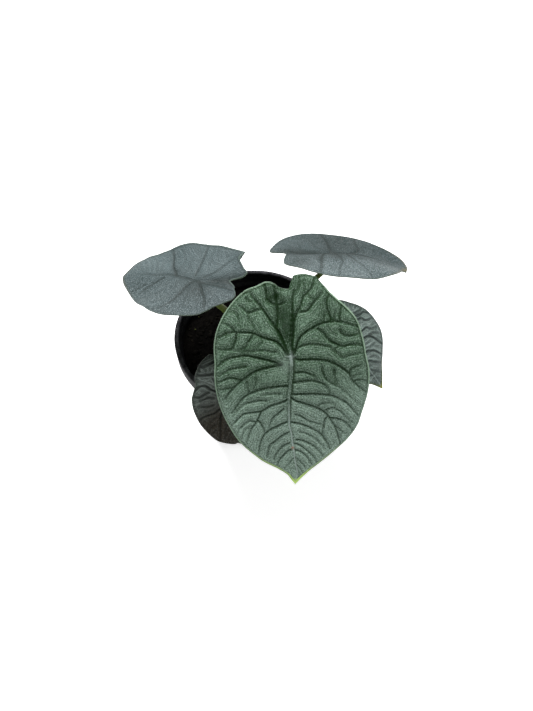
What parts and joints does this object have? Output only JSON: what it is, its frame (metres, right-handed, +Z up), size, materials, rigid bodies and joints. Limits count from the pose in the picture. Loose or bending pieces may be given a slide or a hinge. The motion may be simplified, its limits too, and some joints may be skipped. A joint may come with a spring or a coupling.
{
  "type": "potted alocasia plant",
  "caption": "Young alocasia with thick quilted heart-shaped leaves on arching stalks, standing in potting mix in a round tapered nursery pot with a stepped lip.",
  "frame": {"origin": "centre of the pot's flat underside", "axes": "+Z up along the pot's axis; -Y towards the side over which the largest leaf hangs, +X to the right seen from there"},
  "size_m": [0.1815, 0.1618, 0.1777],
  "materials": {
    "pot_plastic": "satin black moulded plastic with faint scuffs",
    "potting_mix": "crumbly dark potting mix of bark, fibre and a few pale grains",
    "rootstock": "dull ringed rootstock",
    "stalk": "smooth satin yellow-green leaf stalk",
    "leaf_green": "thick quilted grey-green blade with dark sunken veins, fine pebbled grain and a pale margin",
    "leaf_grey_green": "thick quilted blue-grey green blade with soft darker veins",
    "leaf_dark": "thick quilted dark grey blade with sunken veins"
  },
  "bodies": {
    "root": {"pot": "pot_plastic", "soil": "potting_mix", "stem_base": "rootstock", "stalk_front": "stalk", "blade_front": "leaf_green", "stalk_upper_left": "stalk", "blade_upper_left": "leaf_grey_green", "stalk_upper_right": "stalk", "blade_upper_right": "leaf_grey_green", "stalk_right": "stalk", "blade_right": "leaf_grey_green", "stalk_lower_left": "stalk", "blade_lower_left": "leaf_dark"}
  },
  "joints": []
}
